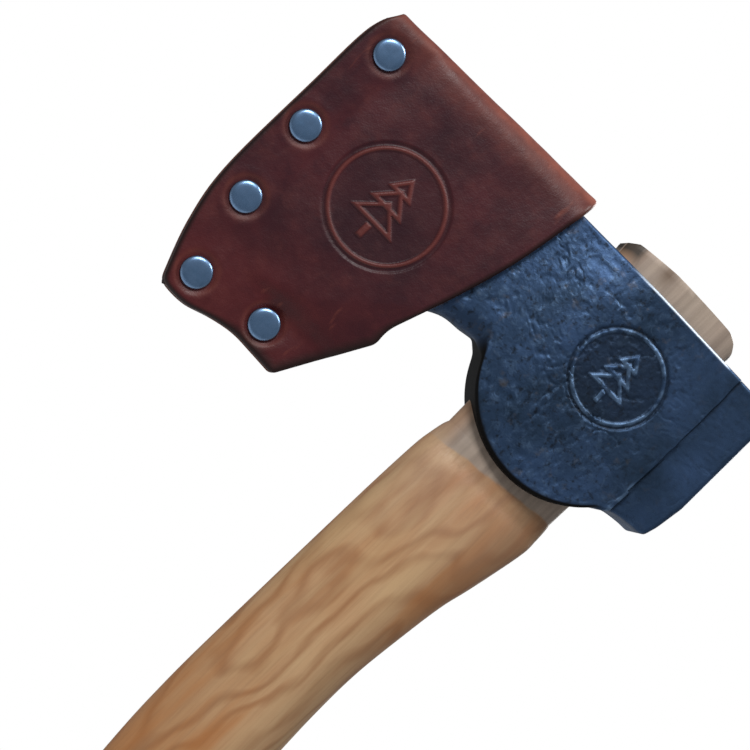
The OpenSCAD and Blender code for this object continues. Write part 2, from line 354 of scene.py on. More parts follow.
def hickory(name, light, dark, line, tone=True):
    """Flat-sawn hickory: soft year rings in long arches, with fibres along the haft."""
    s = Shader(name, Specular_IOR_Level=0.35)
    leaned = s.add("Mapping", {"Vector": s.object, "Rotation": (0.11, 0.05, 0),
                               "Location": [-v * MM for v in HEART] + [0]}).outputs["Vector"]
    across = s.add("Mapping", {"Vector": leaned, "Scale": (1, 1, 0)}).outputs["Vector"]
    reach = s.add("VectorMath", {0: across}, operation="LENGTH").outputs["Value"]
    swirl = s.noise(30, 2, 0.45, s.stretched((1, 1, 0.42)))
    wobble = s.noise(9, 2, 0.5, s.stretched((1, 1, 0.4)))
    phase = s.math("ADD", s.math("MULTIPLY", reach, 2 * math.pi / (RING_PITCH * MM)),
                   s.math("ADD", s.math("MULTIPLY", swirl, 40.0),
                          s.math("MULTIPLY", wobble, 4.5)))
    rings = s.math("SINE", phase)
    fibre = s.noise(1.0, 4, 0.6, s.stretched((1, 1, 0.04)))
    streak = s.noise(4.5, 3, 0.55, s.stretched((1, 1, 0.05)))
    base = s.mix(s.fit(s.noise(30, 2, 0.5, s.stretched((1, 1, 0.3))), 0.38, 0.66), light, dark)
    base = s.mix(s.fit(rings, -0.3, 0.95, 0, 0.5), base, line)
    base = s.mix(s.fit(rings, 0.75, 1.0, 0, 0.12), base, colour("7c5334"))
    base = s.mix(s.fit(streak, 0.52, 0.75, 0, 0.25), base, line)
    flame = s.noise(15, 3, 0.55, s.stretched((1, 1, 0.16), move=(0.3, 0.1, 0)))
    base = s.mix(s.fit(flame, 0.48, 0.62, 0, 0.55), base, colour("a0632f"))
    base = s.mix(s.fit(flame, 0.46, 0.34, 0, 0.5), base, colour("b39770"))
    base = s.mix(s.fit(fibre, 0.48, 0.72, 0, 0.22), base, colour("765236"))
    if tone:
        grey = s.mix(s.fit(streak, 0.35, 0.7), colour("998c80"), colour("766c63"))
        base = s.mix(s.fit(s.mark("pale"), 0, 1, 0, 0.88), base, grey)
        # Painted shade towards the haft's back edge, with the dark band by the cross wedge
        base = s.mix(s.fit(s.mark("dark"), 0, 1, 0, 0.85), base, colour("4e3826"))
        # Painted shade at the tenon's rear corner, and a dark front corner
        base = s.mix(s.mark("charred"), base, colour("2e2822"))
    s.set("Base Color", base)
    s.set("Roughness", s.fit(fibre, 0.3, 0.7, 0.45, 0.62))
    s.bump((fibre, 0.1), (rings, 0.04))
    return s.material


def wedge_steel_material():
    s = Shader("wedge_steel", Metallic=1.0)
    rust = s.noise(2.0, 4, 0.6)
    s.set("Base Color", s.mix(s.fit(rust, 0.5, 0.75), colour("8b9096"), colour("6b4f3c")))
    s.set("Roughness", s.fit(rust, 0.3, 0.7, 0.35, 0.6))
    s.bump((rust, 0.08))
    return s.material


LEATHER = leather_material()
WELT = welt_material()
STEEL = steel_material()
RIVET = rivet_material()
WOOD = hickory("haft_wood", colour("ad8964"), colour("9e744c"), colour("83522c"))
WEDGE_WOOD = hickory("wedge_wood", colour("8f7a63"), colour("806c56"), colour("6a543f"), False)
WEDGE_STEEL = wedge_steel_material()

# ---------------------------------------------------------------- the head's shape

EDGE_R = 174
EDGE_C = (38.9, -39)                   # the cutting edge is an arc about this point
CHEEK = ((0, 15.5), (60, 15.5), (70, 13.9), (87, 10), (110, 6.9), (140, 4), (160, 2.2),
         (EDGE_R, 0.25), (220, 0.25))  # distance from EDGE_C, half thickness
POLL_STEP_X = 36.9
POLL_STEP = 1.2
EYE_TOP = (29.7, 9.9)                  # half length and half width of the eye
EYE_LOW = (27.3, 9.1)
OVAL_POWER = 0.87                      # below 1, the eye and the haft are fuller than an ellipse
LUG_R = 40.8
NECK_UNDER = ((-42.6, -61), (-45, -61.5), (-48.5, -62.3), (-60, -64.8), (-78, -78.3),
              (-99.4, -97.3), (-122.3, -105.3))
POLL_UNDER = ((53.2, -65.5), (51.8, -67.1), (46.7, -67.5), (38.5, -69.1), (33.8, -72.6))


def smoothed(values, width):
    kernel = np.exp(-0.5 * (np.arange(-3 * width, 3 * width + 1) / width) ** 2)
    return np.convolve(np.pad(values, 3 * width, "edge"), kernel / kernel.sum(), "valid")


CHEEK_R = np.arange(0, 220, 0.5)
CHEEK_Y = smoothed(np.interp(CHEEK_R, *zip(*CHEEK)), 6)


def cheek_half(x, z):
    """Half thickness of the blade and cheeks."""
    r = np.hypot(x - EDGE_C[0], z - EDGE_C[1])
    wedge = 0.12 + 0.15 * np.maximum(EDGE_R - r, 0)
    return np.minimum(np.interp(r, CHEEK_R, CHEEK_Y), wedge)


def oval(t, half_l, half_w):
    c, s = np.cos(t), np.sin(t)
    return (np.sign(c) * abs(c) ** OVAL_POWER * half_l,
            np.sign(s) * abs(s) ** OVAL_POWER * half_w)


def stamp(px, pz, radius):
    """A plain round mark, a fir tree in a ring: its sunk floor and its raised lines, 0 to 1."""
    rho = np.hypot(px, pz)
    x, z = abs(px) / radius, pz / radius
    soft = 0.3

    def inside(distance):
        """Soft inside of a shape from its signed distance in millimetres."""
        return 1 - smooth_step(-soft, soft, distance)

    floor = inside(rho - radius)
    lines = inside(abs(rho - 0.9 * radius) - 0.7)
    for tip, base, half in ((0.6, 0.26, 0.24), (0.36, -0.04, 0.34), (0.1, -0.34, 0.44)):
        bough = np.maximum((x - half * (tip - z) / (tip - base)) * 0.8, base - z)
        lines = np.maximum(lines, inside(abs(bough + 0.035) * radius - 0.75))
    trunk = np.maximum(x - 0.05, abs(z + 0.5) - 0.12) * radius
    lines = np.maximum(lines, inside(trunk))
    return floor * (1 - lines), lines * floor


def half_round(depth, radius):
    """How far a rounded edge has dropped, at a distance depth inside it."""
    q = np.clip(depth / np.maximum(radius, 1e-6), 0, 1)
    return radius * (1 - np.sqrt(1 - (1 - q) ** 2))


HEAD_MARK = (3.3, -33.4, 19.5)         # x, z, radius
HEAD_MARK_DEPTH = 0.55


def make_head():
    lug_z = LUG_Z + LUG_R
    under = np.vstack([spline(NECK_UNDER)[::-1], arc((0, lug_z), LUG_R, -156, -38, 60),
                       spline(POLL_UNDER)[::-1]])
    even_x = np.linspace(under[0, 0], under[-1, 0], 900)
    even_z = smoothed(np.interp(even_x, *under.T), 4)
    # Columns by their x at the top edge; the eye's ends need close ones
    eye_ends = EYE_TOP[0] * np.cos(np.radians(np.linspace(0, 35, 9)))
    x_top = np.unique(np.round(np.r_[
        spaced((-131, -128, 0.5), (-128, -60, 1.4), (-60, -30, 0.6)),
        -eye_ends, eye_ends, spaced((-24.2, -15, 0.6), (-15, 24, 0.42)),
        spaced((30.2, 36, 0.8), (36, 38.1, 0.2), (38.1, 52, 0.9), (52, POLL_X, 0.25))], 3))
    x_top = x_top[np.r_[True, np.diff(x_top) > 0.06]]
    knots = (-131, -EYE_TOP[0], EYE_TOP[0], POLL_X)
    x_low = np.interp(x_top, knots, (under[0, 0], -EYE_LOW[0], EYE_LOW[0], under[-1, 0]))
    s = (x_top - x_top[0]) / (x_top[-1] - x_top[0])
    top = np.column_stack([x_top, np.zeros_like(x_top)])
    low = np.column_stack([x_low, np.interp(x_low, even_x, even_z)])
    length = np.linalg.norm(low - top, axis=1)

    # Rows: close together at the rounded edges, even across the mark
    rim = np.interp(x_low, (-122, -62, -48, -42, -37, 33, 40, 55),
                    (0.8, 6.5, 8, 7, 2, 1.9, 1.8, 1.6))
    near = np.array([0, 0.04, 0.14, 0.32, 0.6, 1.0])
    top_d = near[:, None] * 1.3
    low_d = near[::-1, None] * rim
    middle = spaced((0, 0.14, 0.012), (0.14, 0.64, 0.0055), (0.64, 1, 0.014))[1:-1, None]
    span = length - 1.3 - rim
    d = np.vstack([top_d + 0 * length, 1.3 + middle * span, length - low_d])
    t = d / length
    x = (1 - t) * top[:, 0] + t * low[:, 0]
    z = (1 - t) * top[:, 1] + t * low[:, 1]

    # The cutting edge's arc bulges out from the chord; the poll's face is straight, then slopes
    edge_z = z[:, 0]
    edge_x = EDGE_C[0] - np.sqrt(EDGE_R ** 2 - (edge_z - EDGE_C[1]) ** 2)
    fade = np.clip(1 - s / 0.35, 0, 1) ** 1.5
    x = x + (edge_x - x[:, 0])[:, None] * fade
    poll_x = np.interp(z[:, -1], (-66.3, -61.3, -49.3, 0), (53, 54.3, POLL_X, POLL_X))
    x = x + (poll_x - x[:, -1])[:, None] * np.clip(1 - (1 - s) / 0.1, 0, 1)

    half = cheek_half(x, z)
    wander = 0.35 * noise_at(np.stack([0 * x, 0 * x, z], -1), 9, 2, 4.0)
    from_step = x - POLL_STEP_X - wander
    half -= POLL_STEP * smooth_step(-0.35, 0.35, from_step)
    facet = -0.76 * (z + 44 + 0.846 * (x - POLL_STEP_X))
    half -= 0.16 * np.clip(facet, 0, 14) * (from_step > 0)
    to_top, to_low = d, length - d
    to_poll = np.maximum(poll_x[:, None] - x, 0)
    half -= half_round(to_top, np.minimum(1.3, 0.8 * half))
    half -= half_round(to_low, np.minimum(rim, 0.8 * half))
    half -= half_round(to_poll, np.minimum(2.2, 0.8 * half))
    half = np.maximum(half, 0.06)

    # Forging marks: broad hammer dents and crisp scale, none near the ground edge
    flat = np.stack([x, 0 * x, z], -1)
    ground = smooth_step(EDGE_R - 30, EDGE_R - 24, np.hypot(x - EDGE_C[0], z - EDGE_C[1]))
    crisp = 0.3 + 0.7 * smooth_step(30, -12, x + 0.35 * z)
    rough = crisp * (1 - ground) * smooth_step(0, 3, np.minimum(to_top, to_low))

    def relief(seed):
        broad = noise_at(flat, 15, 2, seed)
        scale = np.clip(abs(noise_at(flat, 3.6, 3, seed + 5)) * 2.2, 0, 1)
        pit = smooth_step(0.2, 0.5, noise_at(flat, 5.5, 3, seed + 11))
        crack = np.exp(-(noise_at(flat, 17, 3, seed + 21) / 0.04) ** 2)
        crack *= smooth_step(-0.05, 0.25, noise_at(flat, 22, 1, seed + 40))
        return -rough * (0.16 * (1 - broad) + 0.08 * (1 - scale) + 0.24 * pit + 0.34 * crack)

    floor, lines = stamp(x - HEAD_MARK[0], z - HEAD_MARK[1], HEAD_MARK[2])
    worn_lines = lines * smooth_step(-0.35, 0.25, noise_at(flat, 5, 2, 31.0))
    # Painted shadow: a dark line along the poll's step
    step_shadow = np.exp(-((from_step - 0.5) / 0.45) ** 2)
    # Painted highlights at the step's lower end
    step_highlight = np.exp(-((from_step + 0.9) / 0.7) ** 2) * smooth_step(-53, -61, z)
    step_highlight *= smooth_step(-0.1, 0.35, noise_at(flat, 4, 2, 17.0))
    points, faces, groove_and_shadow_mark = [], [], []
    count = 0
    sheets = []
    for side, groove in ((-1, floor), (1, 0 * floor)):     # the far cheek has no mark
        y = side * np.maximum(half + relief(3.0 * side) - HEAD_MARK_DEPTH * groove, 0.06)
        sheets.append(np.arange(count, count + x.size).reshape(x.shape))
        points.append(np.stack([x, y, z], -1).reshape(-1, 3))
        groove_and_shadow_mark.append(np.maximum(groove, step_shadow).reshape(-1))
        count += x.size
    front, back = sheets
    faces += quads(front).tolist() + quads(back)[:, ::-1].tolist()
    faces += quads(np.stack([back[:, 0], front[:, 0]])).tolist()
    sides = np.concatenate(points)
    across = 5
    ladder = np.linspace(0, 1, across + 2)[1:-1, None]
    poll = (1 - ladder[..., None]) * sides[front[:, -1]] + ladder[..., None] * sides[back[:, -1]]
    poll_index = np.arange(count, count + poll[..., 0].size).reshape(poll.shape[:2])
    points.append(poll.reshape(-1, 3))
    groove_and_shadow_mark.append(np.zeros(poll_index.size))
    count += poll_index.size
    faces += quads(np.vstack([front[:, -1], poll_index, back[:, -1]])).tolist()

    # Top and underside bands, with the eye between them
    def band(row, eye, flip):
        """Band between the cheeks along one row, and its inner rims at the eye."""
        nonlocal count
        a = np.arccos(np.clip(abs(x[row] / eye[0]) ** (1 / OVAL_POWER), 0, 1))
        gap = np.where(abs(x[row]) <= eye[0] + 1e-3, oval(a, *eye)[1], 0)
        open_columns = np.flatnonzero(gap > 0.05)
        strips = []
        for side, sheet in ((-1, front), (1, back)):
            outer = sides[sheet[row]]
            inner = np.stack([x[row], side * gap, z[row]], -1)
            k = np.array([0.35, 0.7])[:, None, None]
            step = (1 - k) * outer + k * inner
            index = np.arange(count, count + step[..., 0].size).reshape(step.shape[:2])
            points.append(step.reshape(-1, 3))
            groove_and_shadow_mark.append(np.zeros(index.size))
            count += index.size
            strips.append(np.vstack([sheet[row][None], index]))
        mid = np.arange(count, count + x.shape[1])
        points.append(np.stack([x[row], -gap, z[row]], -1))
        count += x.shape[1]
        far = mid.copy()
        far[open_columns] = np.arange(count, count + len(open_columns))
        points.append(np.stack([x[row], gap, z[row]], -1)[open_columns])
        count += len(open_columns)
        groove_and_shadow_mark.append(np.zeros(x.shape[1] + len(open_columns)))
        f = np.vstack([quads(np.vstack([strips[0], mid[None]])),
                       quads(np.vstack([strips[1], far[None]]))[:, ::-1]])
        faces.extend((f[:, ::-1] if flip else f).tolist())
        return mid, far, open_columns

    top_mid, top_far, wide = band(0, EYE_TOP, True)
    low_mid, low_far, _ = band(-1, EYE_LOW, False)
    run = slice(wide[0] - 1, wide[-1] + 2)
    faces += quads(np.stack([top_mid[run], low_mid[run]]))[:, ::-1].tolist()
    faces += quads(np.stack([top_far[run], low_far[run]])).tolist()

    points = np.vstack(points)

    def over_cheeks(front_values, back_values, rest=0.0):
        """Values at every point from those of the two cheeks."""
        values = np.full(len(points), rest)
        values[:x.size] = front_values.reshape(-1)
        values[x.size:2 * x.size] = back_values.reshape(-1)
        return values

    # Painted highlight: a near-white line along the top edge, from the neck to short of the poll
    highlight_and_wear = (1 - smooth_step(0.25, 1, to_top / 1.3)) * smooth_step(31, 28, x)
    highlight_and_wear *= smooth_step(-24, -10, x)
    # Painted shade: the walls between the cheeks are near-black, and so are the rounded lower
    # edges
    lower_edge_shade = smooth_step(1.15, 0.7, to_low / rim) * smooth_step(36, 30, x)
    lower_edge_shade *= 0.25 + 0.75 * smooth_step(-44, -38, x)
    wall_shade = smooth_step(-12, -22, points[:, 2]) * smooth_step(34, 28, points[:, 0])
    wall_shade *= 0.5 + 0.5 * smooth_step(-46, -41, points[:, 0])
    underside_shade = over_cheeks(lower_edge_shade, lower_edge_shade)
    underside_shade[2 * x.size:] = wall_shade[2 * x.size:]
    marks = {"groove": np.concatenate(groove_and_shadow_mark), "edge": over_cheeks(highlight_and_wear, highlight_and_wear),
             "line": over_cheeks(np.maximum(worn_lines, 2 * step_highlight), 0 * lines),
             "crisp": over_cheeks(crisp, crisp, 0.6), "ground": over_cheeks(ground, ground),
             "under": underside_shade}
    piece = mesh_from("head_forging", points, faces, marks)
    place(piece, "axe", "forged_steel", STEEL, "axe_head")


make_head()

# ---------------------------------------------------------------- the haft

TENON_SLOPE = (EYE_TOP[0] - EYE_LOW[0]) / -LUG_Z
TENON_LOW = (27.25, 9.05)              # half length and half width at the lug's underside
STATIONS = (  # height, front, back, half width
    (LUG_Z, -TENON_LOW[0], *TENON_LOW), (-91, -28.2, 27.7, 9.2), (-96.3, -29.2, 28, 9.6),
    (-102.3, -30, 28, 11.3), (-114.3, -30.6, 26, 12.6), (-127.3, -31, 23.4, 13.3),
    (-139.3, -31.2, 20.7, 13.7),
    (-157.3, -31.4, 18.3, 13.9), (-179.3, -31.6, 16.1, 14), (-201.3, -31.8, 16, 14),
    (-231.3, -31.7, 17.5, 14), (-261.3, -30, 18.9, 14), (-321.3, -24, 21, 13.8),
    (-401.3, -16, 24.5, 13.5), (-501.3, -8.5, 28, 13.2), (-601.3, -5.5, 29.5, 13),
    (-681.3, -9.5, 25.5, 13), (-726.3, -16.5, 20, 13.4), (-761.3, -26, 14, 14.4),
    (-786.3, -35.5, 9, 15.4), (-807.3, -40, 4, 15.6))
HAFT_SIDES = 96
BUTT_RISE = 12                         # the butt's slanted end is higher at the back
BUTT_ROWS = 16                         # rows that lean over towards that slant
BUTT_LEVEL = -806                      # from here down they lean all the way
KERF_HALF = 3.4                        # half width of the saw cut for the wooden wedge
KERF_LOW = -10


def box_cutter(name, corners, low_y, high_y):
    """Prism over a side-view outline, for cutting."""
    n = len(corners)
    points = [(x, y, z) for y in (low_y, high_y) for x, z in corners]
    faces = [tuple(range(n)), tuple(range(2 * n - 1, n - 1, -1))]
    faces += [(i, i + n, (i + 1) % n + n, (i + 1) % n) for i in range(n)]
    return mesh_from(name, points, faces, sharp=0)


def cut(piece, cutter):
    modifier = piece.modifiers.new("cut", "BOOLEAN")
    modifier.object = cutter
    modifier.operation = "DIFFERENCE"
    modifier.solver = "EXACT"
    bpy.context.view_layer.update()
    graph = bpy.context.evaluated_depsgraph_get()
    mesh = bpy.data.meshes.new_from_object(piece.evaluated_get(graph))
    piece.modifiers.clear()
    piece.data = mesh
    bpy.data.objects.remove(cutter)


def make_haft():
    body = spline(STATIONS, 14)
    zs = np.array([TENON_TOP, TENON_TOP - 2, TENON_TOP - 4, 0.5, -3, -20, -40, -60, -75])
    grow = (zs - LUG_Z) * TENON_SLOPE
    wide = TENON_LOW[1] + (zs - LUG_Z) * (EYE_TOP[1] - EYE_LOW[1]) / -LUG_Z
    tenon = np.column_stack([zs, -TENON_LOW[0] - grow, TENON_LOW[0] + grow, wide])
    rows = np.vstack([tenon, body])
    t = np.linspace(0, 2 * np.pi, HAFT_SIDES, endpoint=False)
    ox, oy = oval(t, 1, 1)
    mid, half, width, z = ((rows[:, 1] + rows[:, 2]) / 2, (rows[:, 2] - rows[:, 1]) / 2,
                           rows[:, 3], rows[:, 0])
    grid = np.stack([mid[:, None] + half[:, None] * ox, width[:, None] * oy,
                     np.repeat(z[:, None], HAFT_SIDES, 1)], -1)

    def top_level(x):
        """How far the tenon's top falls away towards both ends."""
        return np.interp(x, (-29.8, -28.6, -25.6, -8, 1, 21.7, 26.5, 29, 30),
                         (-6, -4.4, -2.2, -0.6, -0.1, 0, -1.8, -4.4, -6.5))

    grid[:3, :, 2] += top_level(grid[:3, :, 0]) * [[1], [0.9], [0.6]]
    # The butt is cut on a slant
    front, back = STATIONS[-1][1:3]
    slant = (grid[-1, :, 0] - front) / (back - front) * BUTT_RISE
    weight = smooth_step(-790, BUTT_LEVEL, grid[..., 2])[-BUTT_ROWS:]
    end = grid[-BUTT_ROWS:]
    end[..., 2] += weight * slant + weight * (BUTT_Z - BUTT_LEVEL)

    def closing(ring, lift, scales):
        """Rings that round the end over and close in to its middle."""
        centre = ring.mean(0)
        made = []
        for scale, rise in scales:
            r = centre + (ring - centre) * [scale, scale, 1]
            r[:, 2] = ring[:, 2] + lift * rise
            made.append(r)
        return made

    scales = ((0.985, 0.5), (0.95, 0.85), (0.88, 1.0), (0.7, 1.05), (0.45, 1.1), (0.2, 1.1))
    top_rings = closing(grid[0], 0.7, scales)[::-1]
    low_rings = closing(grid[-1], -2.0, ((0.97, 0.35), (0.9, 0.75), (0.8, 0.95), (0.6, 1.05),
                                         (0.35, 1.1), (0.15, 1.1)))
    rings = top_rings + list(grid) + low_rings
    for ring in top_rings:
        ring[:, 2] = np.minimum(ring[:, 2], TENON_TOP)
    points = np.vstack(rings)
    index = np.arange(len(points)).reshape(len(rings), HAFT_SIDES)
    faces = quads(np.hstack([index, index[:, :1]])).tolist()
    faces += [index[0].tolist(), index[-1][::-1].tolist()]

    # Light hand-work: long shallow facets and ripples below the shoulder
    skin = smooth_step(-98, -118, points[:, 2])
    ripple = noise_at(points * [1, 1, 0.22], 14, 2, 7.0)
    radial = points * [1, 1, 0] - np.column_stack([
        np.interp(-points[:, 2], -rows[:, 0], mid), np.zeros(len(points)),
        np.zeros(len(points))])
    radial /= np.maximum(np.linalg.norm(radial, axis=1, keepdims=True), 1e-6)
    points = points - radial * (skin * 0.22 * (1 - ripple) * 0.5)[:, None]
    px, pz = points[:, 0], points[:, 2]
    from_mid = px - np.interp(-pz, -rows[:, 0], mid)
    # Raw wood next to the head, where the oil stops at a slanting line
    oil_line = -96.8 + 0.155 * (px + 26.6) + 0.6 * noise_at(points, 7, 2, 12.0)
    pale = smooth_step(-0.7, 0.7, pz - oil_line) * (0.45 + 0.55 * smooth_step(-27, -19, px))
    pale = np.maximum(pale, 0.22 * smooth_step(-150, -104, pz))
    # Painted shade: the oiled wood darker towards the haft's back edge; also a dark band beside
    # the cross wedge above the head
    dark = 0.55 * smooth_step(4, 24, from_mid) * smooth_step(0.7, -0.7, pz - oil_line)
    dark = np.maximum(dark, 0.9 * smooth_step(2, 8, pz) * np.exp(-((px + 10) / 3) ** 2))
    # Near-black tenon corners above the head: painted shade at the rear corner, and a dark front
    # corner
    corner = smooth_step(-20.5, -23, px) * smooth_step(0, 3, pz)
    heel = smooth_step(27.5, 29.2, px) * smooth_step(6, 3, pz)
    charred = 0.95 * np.maximum(corner, heel) * smooth_step(-2, 0, pz)
    piece = mesh_from("haft_carved", points, faces,
                      {"pale": pale, "dark": dark, "charred": charred})
    cut(piece, box_cutter("kerf", ((-40, 16), (40, 16), (40, KERF_LOW), (-40, KERF_LOW)),
                          -KERF_HALF, KERF_HALF))
    cut(piece, box_cutter("cross_slot", ((-9.3, 16), (-6.7, 16), (-7.2, -8), (-8.8, -8)),
                          -7.1, 7.1))
    # The saw cuts' walls are raw wood as well
    sawn = [abs(v.co.y) < (KERF_HALF + 0.05) * MM and v.co.z > TOP + (KERF_LOW - 1) * MM
            for v in piece.data.vertices]
    raw = piece.data.attributes["pale"].data
    for i in np.flatnonzero(sawn):
        raw[int(i)].value = 1
    piece.data.set_sharp_from_angle(angle=math.radians(40))
    place(piece, "axe", "haft_wood", WOOD, "haft")


make_haft()
for node, material in (("eye_wedge", WEDGE_WOOD), ("cross_wedge", WEDGE_STEEL)):
    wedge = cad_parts[node]
    wedge.data.materials.clear()
    wedge.data.materials.append(material)

# ---------------------------------------------------------------- the sheath

LEATHER_T = 3.5
WELT_T = 3.0
SPINE = ((-148.6, 3.9), (-47.2, 8.5))
BIT_SIDE = ((-148.6, 3.9), (-152.2, -4.2), (-153.6, -14.3), (-153.5, -37.3),
            (-153.1, -82.8), (-148.4, -107.3), (-140.1, -128.7))
LOWER_SIDE = ((-140.1, -128.7), (-137.1, -130.3), (-127.4, -130.1), (-117.2, -126.7),
              (-107, -124.5), (-97, -124.5), (-86.5, -124.8))
DIAGONAL = ((-86.5, -124.8), (-67.7, -89.4))
MOUTH = ((-67.7, -89.4), (-68.2, -82.5), (-65.4, -72.9), (-59.5, -54.3), (-53.1, -28.9),
         (-47.2, 8.5))
RIVETS = ((-141.2, -11.5), (-143.9, -52.3), (-140.3, -86.6), (-132.8, -119.1), (-101.6, -114.1))
PINCHED = 4                            # the rivet that closes the panels with no welt
HEEL_Z = -105.8                        # just under the blade's heel
WELT_R = EDGE_R + 1.5                  # the welt's inner side keeps clear of the cutting edge
SHEATH_MARK = (-101.4, -51.5, 24.3)    # x, z, radius


def blade_gap(x, z):
    """Half the room that the blade needs at a point while the sheath is drawn off."""
    under = spline(NECK_UNDER[3:])
    limit = np.interp(-z, -under[:, 1], under[:, 0])
    limit = np.where(z > under[0, 1], 1e3, limit)
    room = cheek_half(np.minimum(x, limit), z) + 0.5
    return np.where(z < HEEL_Z, 0, room)


FIELD_STEP = 0.5
FIELD_X = np.arange(-160, -40, FIELD_STEP)
FIELD_Z = np.arange(-134, 12, FIELD_STEP)


def gap_field():
    """Half gap between the panels on a raster, smoothed as leather bends."""
    x, z = np.meshgrid(FIELD_X, FIELD_Z)
    r = np.hypot(x - EDGE_C[0], z - EDGE_C[1])
    room = blade_gap(x, z)
    gap = np.where(r > WELT_R, WELT_T / 2, room)
    gap = np.where((z < HEEL_Z) & (r <= WELT_R), 0.7, gap)
    for axis in (0, 1):
        gap = np.apply_along_axis(smoothed, axis, gap, 5)
    gap = np.maximum(gap, np.where(r < EDGE_R + 1, room, 0))
    pinch = np.hypot(x - RIVETS[PINCHED][0], z - RIVETS[PINCHED][1])
    gap = gap * (1 - 0.8 * np.exp(-(pinch / 9) ** 2) * (z < HEEL_Z + 1))
    return np.apply_along_axis(smoothed, 1, np.apply_along_axis(smoothed, 0, gap, 2), 2)


GAP = gap_field()


def panel_gap(x, z):
    """Half gap between the panels at any points."""
    i = np.clip((x - FIELD_X[0]) / FIELD_STEP, 0, len(FIELD_X) - 1.001)
    j = np.clip((z - FIELD_Z[0]) / FIELD_STEP, 0, len(FIELD_Z) - 1.001)
    a, b = i.astype(int), j.astype(int)
    u, v = i - a, j - b
    return ((GAP[b, a] * (1 - u) + GAP[b, a + 1] * u) * (1 - v)
            + (GAP[b + 1, a] * (1 - u) + GAP[b + 1, a + 1] * u) * v)


PATH_STEP = 0.4                        # spacing of the points of an edge path


def rounded_path(curves, reach):
    """Joins curves end to end, rounds the corners between them, and splits the path there."""
    steps = [np.arange(0, 1, PATH_STEP / np.linalg.norm(np.diff(c, axis=0), axis=1).sum())
             for c in curves]
    path = np.vstack([along(c, t) for c, t in zip(curves, steps)] + [curves[-1][-1:]])
    k = int(reach / PATH_STEP)
    padded = np.vstack([2 * path[0] - path[k:0:-1], path, 2 * path[-1] - path[-2:-k - 2:-1]])
    kernel = np.ones(2 * k + 1) / (2 * k + 1)
    soft = np.column_stack([np.convolve(axis, kernel, "valid") for axis in padded.T])
    cuts = [np.linalg.norm(soft - c[0], axis=1).argmin() for c in curves[1:]]
    return [soft[i:j + 1] for i, j in zip([0] + cuts, cuts + [len(soft) - 1])]


FOLD_H = 13                            # height of the rounded fold over the blade's back
FOLD_ROWS = 34
FOLD_POWER = 2 / 2.3                   # a little fuller than an ellipse


def below(curve, z):
    """The part of a curve under a level, from a point on that level."""
    x = np.interp(-z, -curve[:, 1], curve[:, 0])
    return np.vstack([[x, z], curve[curve[:, 1] < z - 0.5]])


def sheath_sheet():
    """Middle surface of the folded leather, as rows from the near panel's lower edge, over
    the spine, to the far panel's lower edge, with each point's distance from a free edge."""
    u = spaced((0, 0.02, 0.004), (0.02, 0.28, 0.0085), (0.28, 0.83, 0.0046),
               (0.83, 0.975, 0.0085), (0.975, 1, 0.004))
    spine_at = along(np.array(SPINE), u)
    half_w = panel_gap(spine_at[:, 0], np.full(len(u), -4.0)) + LEATHER_T / 2
    crown = spine_at[:, 1] - LEATHER_T / 2
    start_z = crown - np.minimum(FOLD_H, half_w + 1.5)
    bit = below(spline(BIT_SIDE), start_z[0])
    mouth = below(spline(MOUTH)[::-1], start_z[-1])
    top = np.column_stack([np.interp(u, (0, 1), (bit[0, 0], mouth[0, 0])), start_z])
    mouth = np.vstack([mouth, np.array(DIAGONAL)[:1]])
    right, bottom, left = rounded_path((mouth, spline(LOWER_SIDE)[::-1], bit[::-1]), 2.0)
    bottom, left = bottom[::-1], left[::-1]
    front = coons(top, bottom, left, right, u, spaced(
        (0, 0.18, 0.011), (0.18, 0.62, 0.0042), (0.62, 0.975, 0.0085), (0.975, 1, 0.004)))
    back = coons(top, bottom, left, right, u, spaced((0, 0.97, 0.0115), (0.97, 1, 0.005)))
    halves = [np.stack([p[..., 0], side * (panel_gap(p[..., 0], p[..., 1]) + LEATHER_T / 2),
                        p[..., 1]], -1) for p, side in ((front, -1), (back, 1))]
    near, far = halves[0][::-1], halves[1]
    a = np.linspace(0, np.pi, FOLD_ROWS + 2)[1:-1, None]
    rise = np.sin(a) ** FOLD_POWER
    swing = np.sign(np.cos(a)) * abs(np.cos(a)) ** FOLD_POWER
    fold = np.stack([top[:, 0] + (spine_at[:, 0] - top[:, 0]) * rise, -swing * far[0, :, 1],
                     start_z + (crown - start_z) * rise], -1)
    sheet = np.vstack([near, fold, far])
    depth = to_line(sheet[..., [0, 2]], np.vstack([right, bottom[::-1], left[::-1]]))
    run = fold[..., 0]
    depth[len(near):-len(far)] = np.minimum(run - run[:, :1], run[:, -1:] - run)
    return sheet, depth, len(near), len(far)


